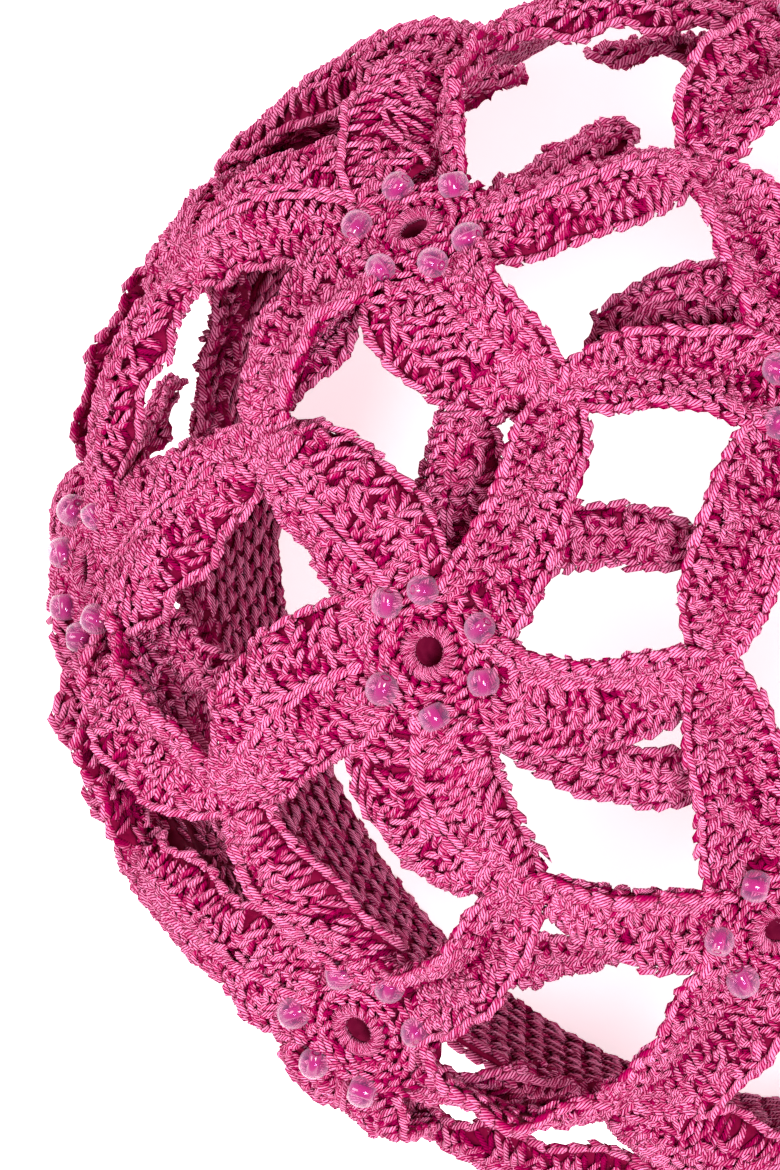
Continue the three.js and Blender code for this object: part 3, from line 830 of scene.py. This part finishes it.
def rosette(crochet, flower):
    """The ring, the rounds of stitches about it and the disc of painted shade under them."""
    disc = Disc(flower)
    random, cord = crochet.random, crochet.cord
    ring_wraps(crochet, disc)
    for kind, rounds in ((FRONT, FRONT_ROUNDS), (BACK, BACK_ROUNDS)):
        for count, first, last, bow, shade_and_tone in rounds:
            step = 360 / count
            at = np.arange(count) * step + random.uniform(0, step)
            stray = np.array([ROUND_STRAY[0] * step, *ROUND_STRAY[1:]])
            flat = bowed(*row_ends(at, step, first, last, random, stray), bow, kind)
            lay(crochet, disc.place, flat, cord, shade_and_tone, kind, ROUND_LIGHT)
    turns = np.linspace(0, 2 * np.pi, 8, endpoint=False)
    core = RING_THICKNESS - WRAP_THICKNESS * 0.42
    ring = [(RING_RADIUS + core * math.cos(t), RING_HEIGHT + core * math.sin(t)) for t in turns]
    # The disc is painted darker than the ring's core, as painted shade in the blind eyelet and between the
    # rounds
    for profile, shade_and_tone in ((ROSETTE_SHADE_DISC, 0.35), (ring, 0.9)):
        bm = turned_shape(profile, LATHE_STEPS)
        bmesh.ops.transform(bm, matrix=disc.matrix(), verts=bm.verts)
        crochet.body(bm, 1, shade_and_tone)


def flower_facts(name, down, round_way, lean):
    centre = dome_point(down, round_way)
    turn, slope = math.radians(round_way), math.radians(min(down, 90))
    downhill = np.array(
        [math.cos(slope) * math.cos(turn), math.cos(slope) * math.sin(turn), -math.sin(slope)]
    )
    normal = dome_normal(centre)
    return {
        "name": name,
        "round": round_way,
        "lean": lean,
        "centre": centre,
        "normal": normal,
        "downhill": downhill,
        "roundwise": np.cross(normal, downhill),
    }


def join_place(flower, name):
    """Where a petal's tip ends, and the gap that it leaves there."""
    if name in JOINS:
        return dome_point(*JOINS[name]), TIP_GAP[name.split("_")[0]]
    turn = BAND_JOIN_ROUND if name == "band_left" else -BAND_JOIN_ROUND
    foot = dome_point(90, flower["round"] + turn)
    foot[2] = BAND_HEIGHT
    return foot, TIP_GAP["band"]


def add_node(tree, kind, values=None, links=None, **settings):
    """One node with its settings, its sockets' own values and what feeds them: an output, or a node
    that gives the first output that it has in use."""
    node = tree.nodes.new(kind)
    for name, value in settings.items():
        setattr(node, name, value)
    for socket, value in (values or {}).items():
        node.inputs[socket].default_value = value
    for socket, source in (links or {}).items():
        if isinstance(source, bpy.types.Node):
            source = next(output for output in source.outputs if output.enabled)
        tree.links.new(source, node.inputs[socket])
    return node


def new_material(name):
    material = bpy.data.materials.get(name) or bpy.data.materials.new(name)
    material.use_nodes = True
    material.node_tree.nodes.clear()
    return material, material.node_tree


def twisted_viscose_cord(sizes, colours):
    """Shiny twisted viscose cord: slanted plies with painted highlights on their crowns and deep pink painted
    shade between them.
    """
    material, tree = new_material("twisted_viscose_cord")
    place = add_node(tree, "ShaderNodeUVMap", uv_map="cord")
    parts = add_node(tree, "ShaderNodeSeparateXYZ", None, {"Vector": place})
    shade_and_tone = add_node(tree, "ShaderNodeAttribute", attribute_name="shade_and_tone").outputs["Fac"]
    # Five strands of filament go round the cord; one comes round to the top every ply length
    plies = {1: 1 / (sizes.ply / MM)}
    along = add_node(tree, "ShaderNodeMath", plies, {0: parts.outputs["X"]}, operation="MULTIPLY")
    around = add_node(tree, "ShaderNodeMath", {1: 5.0}, {0: parts.outputs["Y"]}, operation="MULTIPLY")
    phase = add_node(tree, "ShaderNodeMath", None, {0: along, 1: around})
    turn = add_node(tree, "ShaderNodeMath", {1: math.pi}, {0: phase}, operation="MULTIPLY")
    wave = add_node(tree, "ShaderNodeMath", None, {0: turn}, operation="SINE")
    ply = add_node(tree, "ShaderNodeMath", None, {0: wave}, operation="ABSOLUTE")
    crown = add_node(tree, "ShaderNodeMath", {1: 1.6}, {0: ply}, operation="POWER")
    # Painted highlights on the plies: no two plies get the same strength, and a strand painted lighter gets
    # more
    number = add_node(tree, "ShaderNodeMath", None, {0: phase}, operation="FLOOR")
    chance = add_node(tree, "ShaderNodeTexWhiteNoise", None, {"W": number}, noise_dimensions="1D")
    ply_glint = add_node(tree, "ShaderNodeMapRange", {"To Min": 0.3, "To Max": 1.45}, {"Value": chance})
    bright = {"From Min": 0.6, "From Max": 1.35, "To Min": 0.03, "To Max": 1.1}
    lit = add_node(tree, "ShaderNodeMapRange", bright, {"Value": shade_and_tone})
    shade = add_node(tree, "ShaderNodeMath", None, {0: lit, 1: ply_glint}, operation="MULTIPLY")
    glow = add_node(tree, "ShaderNodeMath", None, {0: crown, 1: shade}, operation="MULTIPLY")
    share = add_node(tree, "ShaderNodeMapRange", {"From Min": 0.15, "From Max": 0.74}, {"Value": glow})
    dullness = add_node(tree, "ShaderNodeMapRange", {"To Min": 0.9, "To Max": 0.32}, {"Value": share})
    # Painted light and shade: pale pink on the lit crowns of the plies, deep pink between them and on strands
    # painted dark
    pinks = {"A": linear(colours.shaded_valley), "B": linear(colours.lit_crest)}
    colour = add_node(tree, "ShaderNodeMix", pinks, {"Factor": share}, data_type="RGBA")
    # What lies far below the face of the work gets no light
    deep = add_node(tree, "ShaderNodeMapRange", {"From Min": 0.85, "From Max": -0.1}, {"Value": shade_and_tone})
    dark = {"B": linear(DEEP_SHADE)}
    shaded = add_node(tree, "ShaderNodeMix", dark, {"Factor": deep, "A": colour}, data_type="RGBA")
    # The plies stand 0.18 mm proud
    bump = add_node(tree, "ShaderNodeBump", {"Strength": 1.0, "Distance": 0.00018}, {"Height": ply})
    shader = add_node(
        tree,
        "ShaderNodeBsdfPrincipled",
        {"IOR": 1.45, "Specular IOR Level": 0.05, "Specular Tint": linear("FF9CC4")},
        {"Base Color": shaded, "Normal": bump, "Roughness": dullness},
    )
    add_node(tree, "ShaderNodeOutputMaterial", None, {"Surface": shader})
    return material


def painted_shade_behind_stitches(colours):
    """The same cord deep between the stitches, where no ply catches the light: painted shade on the dark
    sheets behind the strands.
    """
    material, tree = new_material("painted_shade_behind_stitches")
    place = add_node(tree, "ShaderNodeTexCoord").outputs["Object"]
    # Knobs of 1.6 mm, as wide as the cord with the gap beside it
    knobs = add_node(
        tree, "ShaderNodeTexVoronoi", {"Scale": 620.0}, {"Vector": place}, feature="SMOOTH_F1"
    )
    shade_and_tone = add_node(tree, "ShaderNodeAttribute", attribute_name="shade_and_tone").outputs["Fac"]
    # Painted shade, darker still where a sheet is given a low lightness, as in the blind eyelet
    pinks = {"A": linear(DEEP_SHADE), "B": linear(colours.depth)}
    colour = add_node(tree, "ShaderNodeMix", pinks, {"Factor": shade_and_tone}, data_type="RGBA")
    relief = {"Strength": 1.0, "Distance": 0.0008}
    bump = add_node(tree, "ShaderNodeBump", relief, {"Height": knobs}, invert=True)
    shader = add_node(
        tree,
        "ShaderNodeBsdfPrincipled",
        {"Roughness": 0.8, "Specular IOR Level": 0.1},
        {"Base Color": colour, "Normal": bump},
    )
    add_node(tree, "ShaderNodeOutputMaterial", None, {"Surface": shader})
    return material


def rainbow_glass():
    """Clear pressed glass with a thin metal-oxide film: see-through, with a pale lilac painted reflection
    towards its rims and rainbow glints. Light passes it straight, so that it reaches the dyed hole inside."""
    material, tree = new_material("rainbow_coated_glass")
    rim = add_node(tree, "ShaderNodeLayerWeight", {"Blend": 0.36}).outputs["Facing"]
    # The glass keeps a fifth of its face, so that the lights still glint on it
    body = add_node(tree, "ShaderNodeMapRange", {"To Min": 0.2, "To Max": 0.7}, {"Value": rim})
    # Painted reflection: the colour turns pale lilac towards the rims
    lilacs = {"A": linear("B04496"), "B": linear("F2DCF4")}
    rim_reflection = add_node(tree, "ShaderNodeMix", lilacs, {"Factor": rim}, data_type="RGBA")
    film = {"Thin Film Thickness": 420.0, "Thin Film IOR": 1.6}
    shader = add_node(
        tree,
        "ShaderNodeBsdfPrincipled",
        {"Roughness": 0.05, "IOR": 1.5, "Specular IOR Level": 1.0, **film},
        {"Base Color": rim_reflection, "Alpha": body},
    )
    add_node(tree, "ShaderNodeOutputMaterial", None, {"Surface": shader})
    return material


def dyed_lining(colours):
    """The dye inside a bead's hole: glossy magenta lacquer in darker and lighter patches, with a faint
    painted glow of its own colour.
    """
    material, tree = new_material("magenta_lacquer")
    place = add_node(tree, "ShaderNodeTexCoord").outputs["Object"]
    cloud = add_node(tree, "ShaderNodeTexNoise", {"Scale": 380.0}, {"Vector": place})
    dyes = {"A": linear("80004A"), "B": linear(colours.lining)}
    colour = add_node(tree, "ShaderNodeMix", dyes, {"Factor": cloud}, data_type="RGBA")
    # Painted light: the lacquer glows faintly in its own colour, though it is no lamp
    shader = add_node(
        tree,
        "ShaderNodeBsdfPrincipled",
        {"Roughness": 0.14, "Specular IOR Level": 0.9, "Emission Strength": 0.07},
        {"Base Color": colour, "Emission Color": colour},
    )
    add_node(tree, "ShaderNodeOutputMaterial", None, {"Surface": shader})
    return material


def cord_materials(scene):
    return [twisted_viscose_cord(scene.hat_sizes, scene.hat_colours), painted_shade_behind_stitches(scene.hat_colours)]


class HAT_OT_flowers(bpy.types.Operator):
    """Crochets the eleven flowers"""

    bl_idname = "hat.flowers"
    bl_label = "Flowers"

    def execute(self, context):
        materials = cord_materials(context.scene)
        total = 0
        for seed, (name, down, round_way, lean, forms) in enumerate(FLOWERS):
            flower = flower_facts(name, down, round_way, lean)
            crochet = Crochet(seed + 11, context.scene.hat_sizes)
            random = crochet.random
            wraps = 1 if name.startswith("side") else 2
            for join, form in zip(FLOWER_JOINS[name], forms.split(",")):
                target, gap = join_place(flower, join)
                left, right, bow = form.split()
                sides = [FORMS[left], FORMS[right]]
                leaf = Leaf(flower, target, PETAL_START, gap, UPPER_SECTIONS, float(bow), sides, random)
                petal(crochet, leaf, 3, wraps)
            side_lowers = [(down + d, round_way + r, bow, wide) for d, r, bow, wide in SIDE_LOWER_PETALS]
            for low_down, low_round, bow, wide in LOWER_PETALS.get(name, side_lowers):
                target = dome_point(low_down, low_round)
                sides = [FORMS["bar"], FORMS["bar"]]
                leaf = Leaf(flower, target, LOWER_START, 0, LOWER_SECTIONS, bow, sides, random, wide)
                petal(crochet, leaf, 2, 1)
            rosette(crochet, flower)
            piece = crochet.object(name + "_crochet", materials)
            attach(piece, "root")
            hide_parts(name)
            total += crochet.triangles()
            print(name, crochet.triangles(), "triangles")
        print("flowers", total)
        return {"FINISHED"}


def join_knot(crochet, centre, tips):
    """The knot where petal tips are crocheted together."""
    random = crochet.random
    normal = dome_normal(centre)
    middle = centre + normal
    directions = [unit(tip - centre) for tip in tips]
    lines = []
    # Two strands go from every tip to every other
    for first in range(len(directions)):
        for second in range(first + 1, len(directions)):
            for aside in (-0.5, 0.5):
                start = middle + directions[first] * 2.6 + normal * random.uniform(-0.3, 0.3)
                end = middle + directions[second] * 2.6 + normal * random.uniform(-0.3, 0.3)
                side = unit(np.cross(normal, end - start)) * aside
                pull = (middle - (start + end) / 2) * 0.6
                lines.append(bowed(start + side, end + side, pull + normal * 0.5, KNOT))
    # Short ones lie over them every way
    for _ in range(6):
        way = random.normal(0, 1, 3)
        way = unit(way - normal * (way @ normal))
        spot = middle + random.normal(0, 0.5, 3) + normal * 0.25
        lines.append(bowed(spot - way * 1.3, spot + way * 1.3, normal * 0.6, KNOT))
    lines = np.concatenate(lines)
    outs = np.broadcast_to(normal, lines.shape)
    crochet.strands(lines, outs, crochet.cord, 0.95, KNOT[0])


class HAT_OT_joins(bpy.types.Operator):
    """Knots the petal tips together and to the band"""

    bl_idname = "hat.joins"
    bl_label = "Joins"

    def execute(self, context):
        crochet = Crochet(97, context.scene.hat_sizes)
        flowers = [flower_facts(*entry[:4]) for entry in FLOWERS]
        for name, (down, round_way) in JOINS.items():
            tips = [f["centre"] for f in flowers if name in FLOWER_JOINS[f["name"]]]
            join_knot(crochet, dome_point(down, round_way), tips)
        for flower in flowers:
            for name in ("band_left", "band_right"):
                if name in FLOWER_JOINS[flower["name"]]:
                    foot, _ = join_place(flower, name)
                    join_knot(crochet, foot, [flower["centre"], foot - np.array([0, 0, 5.0])])
        piece = crochet.object("tip_joins", cord_materials(context.scene))
        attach(piece, "root")
        print("joins", crochet.triangles())
        return {"FINISHED"}


class HAT_OT_band(bpy.types.Operator):
    """Crochets the brim band"""

    bl_idname = "hat.band"
    bl_label = "Brim band"

    def execute(self, context):
        crochet = Crochet(131, context.scene.hat_sizes)
        height = BAND_HEIGHT / BAND_ROWS
        step = 360 / BAND_STITCHES
        stray = np.array([BAND_STRAY[0] * step, *BAND_STRAY[1:]])

        def place(flat):
            angle = np.radians(flat[..., 0])
            radius = DOME_RADIUS + flat[..., 2]
            return np.stack([radius * np.cos(angle), radius * np.sin(angle), flat[..., 1]], -1)

        def stitches(level, first, last, bow, shade_and_tone, kind=FRONT):
            """One strand of each stitch of a row; an end is a share of the step round, a height over
            the row's foot, and a distance out of the band's middle."""
            at = np.arange(BAND_STITCHES) * step + (level % 2) * step / 2
            ends = [(share, level * height + up, out) for share, up, out in (first, last)]
            start, end = row_ends(at, step, *ends, crochet.random, stray)
            start[:, 1] = np.clip(start[:, 1], BAND_FOOT, None)
            lay(crochet, place, bowed(start, end, bow, kind), crochet.cord * BAND_CORD, shade_and_tone, kind)

        # The strands at the back of the band are painted darker, as painted shade
        for level in range(BAND_ROWS):
            stitches(level, (-0.2, 0.5, 0.6), (0.22, height - 0.4, 0.8), (-0.15, 0, 0.35), 0.85)
            stitches(level, (0.25, 0.5, 0.5), (-0.2, height - 0.4, 0.6), (0.15, 0, 0.3), 0.75)
            stitches(level, (-0.6, height - 0.25, 0.7), (0.6, height + 0.15, 0.9), (0, 0, 0.35), 1.0)
            stitches(level, (-0.45, 0.2, -0.7), (0.3, height + 0.3, -0.9), (0.1, 0, -0.3), 0.75, BACK)
            stitches(level, (0.5, 0.2, -0.5), (-0.2, height + 0.2, -0.7), (0.1, 0, -0.3), 0.7, BACK)
            low, high = height - 0.3, height + 0.2
            stitches(level, (-0.65, low, -0.9), (0.6, high, -0.9), (0, 0, -0.35), 0.85, BACK)
        stitches(0, (-0.6, 0.6, 0.5), (0.6, 0.9, 0.7), (0, 0, 0.35), 1.0)
        # A dark sheet of painted shade behind the strands
        (inner, outer), (bottom, top) = BAND_WALLS, BAND_ENDS
        profile = [(inner, bottom), (outer, bottom), (outer, top), (inner, top)]
        crochet.body(turned_shape(profile, 96))
        piece = crochet.object("brim_band_crochet", cord_materials(context.scene))
        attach(piece, "root")
        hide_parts("brim_band")
        print("band", crochet.triangles())
        return {"FINISHED"}


def bead_shape(size):
    """A pressed bead's glass and the dyed tube of its hole, as (glass, lining)."""
    outer, hole, end = size / 2, size * 0.2, 0.41 * size
    upper = [(0, 0.39 * size), (hole, 0.4 * size), (outer * 0.72, 0.37 * size), (outer * 0.92, 0.22 * size)]
    glass = [(radius, -height) for radius, height in upper] + [(outer, 0)] + upper[::-1]
    # The tube has a rounded rim and a dimple at each end
    lining = [(0, -end + 0.8), (hole * 0.5, -end + 0.7), (hole * 0.55, -end), (hole, -end + 0.1)]
    lining += [(radius, -height) for radius, height in lining[::-1]]
    return turned_shape(glass, 18), turned_shape(lining, 18)


class HAT_OT_beads(bpy.types.Operator):
    """Sews six glass beads round every flower's ring"""

    bl_idname = "hat.beads"
    bl_label = "Beads"

    def execute(self, context):
        sizes = context.scene.hat_sizes
        materials = [rainbow_glass(), dyed_lining(context.scene.hat_colours)]
        total = 0
        for seed, entry in enumerate(FLOWERS):
            disc = Disc(flower_facts(*entry[:4]))
            crochet = Crochet(seed + 211, sizes)
            random = crochet.random
            places = BEADS.get(entry[0]) or [
                (
                    angle + random.uniform(-9, 9),
                    PLAIN_BEAD_DISTANCE + random.uniform(-0.4, 0.6),
                    random.uniform(30, 90),
                    random.uniform(0, 180),
                )
                for angle in PLAIN_BEAD_ANGLES
            ]
            for angle, radius, tilt, heading in places:
                spot = disc.place(np.array([angle, radius, BEAD_HEIGHT]))
                turned = (
                    disc.matrix().to_3x3().to_4x4()
                    @ Matrix.Rotation(math.radians(heading), 4, "Z")
                    @ Matrix.Rotation(math.radians(tilt), 4, "X")
                )
                sewn = Matrix.Translation(Vector(spot)) @ turned
                for finish, bm in enumerate(bead_shape(sizes.bead / MM * random.uniform(0.93, 1.04))):
                    bmesh.ops.transform(bm, matrix=sewn, verts=bm.verts)
                    crochet.body(bm, finish)
            piece = crochet.object(entry[0] + "_beads", materials)
            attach(piece, "root")
            total += crochet.triangles()
        print("beads", total)
        return {"FINISHED"}


# The photograph's view: the camera looks down on the crown from one side and is rolled
VIEW_TILT = 24.6  # degrees from straight down
VIEW_ROLL = 105.8
VIEW_DISTANCE = 3000.0
VIEW_HEIGHT = 160.9  # millimetres of the hat that the frame's long side holds
VIEW_ASIDE = 37.8  # how far the frame's middle lies from the dome's, towards the frame's left
VIEW_BELOW = 0.3
SENSOR = 36.0


def view_axes():
    """Directions in the hat's frame of the picture's right, its top, and back to the camera."""
    tilt, roll = math.radians(VIEW_TILT), math.radians(VIEW_ROLL)
    back = Vector((0, -math.sin(tilt), math.cos(tilt)))
    level, upright = Vector((1, 0, 0)), Vector((0, math.cos(tilt), math.sin(tilt)))
    right = level * math.cos(roll) - upright * math.sin(roll)
    top = level * math.sin(roll) + upright * math.cos(roll)
    return right, top, back


class HAT_OT_camera(bpy.types.Operator):
    """Sets the camera at the photograph's view"""

    bl_idname = "hat.camera"
    bl_label = "Camera"

    def execute(self, context):
        right, top, back = view_axes()
        aim = Vector((0, 0, EQUATOR_HEIGHT)) - right * VIEW_ASIDE - top * VIEW_BELOW
        data = bpy.data.cameras.new("view")
        data.sensor_width = SENSOR
        data.lens = SENSOR * VIEW_DISTANCE / VIEW_HEIGHT
        data.clip_start, data.clip_end = 0.01, 20
        camera = bpy.data.objects.new("view", data)
        context.scene.collection.objects.link(camera)
        turned = Matrix([list(right), list(top), list(back)]).transposed().to_4x4()
        camera.matrix_world = Matrix.Translation((aim + back * VIEW_DISTANCE) * MM) @ turned
        context.scene.camera = camera
        return {"FINISHED"}


def area_light(name, direction, distance, size, power):
    data = bpy.data.lights.new(name, "AREA")
    data.shape = "DISK"
    data.size = size
    data.energy = power
    light = bpy.data.objects.new(name, data)
    bpy.context.scene.collection.objects.link(light)
    aim = Vector((0, 0, EQUATOR_HEIGHT * MM))
    light.location = aim + direction.normalized() * distance
    light.rotation_mode = "QUATERNION"
    light.rotation_quaternion = direction.normalized().to_track_quat("Z", "Y")


class HAT_OT_stage(bpy.types.Operator):
    """Lays the pale floor and sets the soft lights"""

    bl_idname = "hat.stage"
    bl_label = "Floor and lights"

    def execute(self, context):
        bm = bmesh.new()
        bmesh.ops.create_grid(bm, x_segments=1, y_segments=1, size=4.0)
        mesh = bpy.data.meshes.new("floor")
        bm.to_mesh(mesh)
        bm.free()
        floor = bpy.data.objects.new("floor", mesh)
        context.scene.collection.objects.link(floor)
        # White paper, lit through a little, so that it stays as pale as paper behind a bright hat
        material, tree = new_material("white_paper")
        own_light = {"Emission Color": linear("FFF2F5"), "Emission Strength": 0.68}
        paper = {"Base Color": linear("FAFAFA"), "Roughness": 0.9, **own_light}
        shader = add_node(tree, "ShaderNodeBsdfPrincipled", paper)
        add_node(tree, "ShaderNodeOutputMaterial", None, {"Surface": shader})
        mesh.materials.append(material)
        right, top, back = view_axes()
        for name, ((backward, rightward, upward), distance, size, power) in LAMPS.items():
            direction = back * backward + right * rightward + top * upward
            area_light(name, direction, distance, size, power)
        world = bpy.data.worlds.new("white_room")
        world.use_nodes = True
        tree = world.node_tree
        tree.nodes.clear()
        glow = add_node(tree, "ShaderNodeBackground", {"Color": linear("FFD2DE"), "Strength": 0.55})
        add_node(tree, "ShaderNodeOutputWorld", None, {"Surface": glow})
        context.scene.world = world
        context.scene.view_settings.view_transform = "Standard"
        return {"FINISHED"}


class HAT_PT_panel(bpy.types.Panel):
    """Lists the hat's sizes, colours and steps"""

    bl_label = "Crochet Hat"
    bl_idname = "HAT_PT_panel"
    bl_space_type = "VIEW_3D"
    bl_region_type = "UI"
    bl_category = "Crochet Hat"

    def draw(self, context):
        layout = self.layout
        for group in (context.scene.hat_sizes, context.scene.hat_colours):
            for name in group.bl_rna.properties.keys():
                if name not in ("rna_type", "name"):
                    layout.prop(group, name)
        for step in STEPS:
            layout.operator(step.bl_idname)


STEPS = (HAT_OT_camera, HAT_OT_stage, HAT_OT_flowers, HAT_OT_joins, HAT_OT_band, HAT_OT_beads)
CLASSES = (HatSizes, HatColours, *STEPS, HAT_PT_panel)


def register():
    for cls in CLASSES:
        bpy.utils.register_class(cls)
    bpy.types.Scene.hat_sizes = bpy.props.PointerProperty(type=HatSizes)
    bpy.types.Scene.hat_colours = bpy.props.PointerProperty(type=HatColours)


def unregister():
    del bpy.types.Scene.hat_colours
    del bpy.types.Scene.hat_sizes
    for cls in reversed(CLASSES):
        bpy.utils.unregister_class(cls)


def main():
    register()
    bpy.ops.hat.camera()
    bpy.ops.hat.stage()
    bpy.ops.hat.flowers()
    bpy.ops.hat.joins()
    bpy.ops.hat.band()
    bpy.ops.hat.beads()


if __name__ == "__main__":
    main()
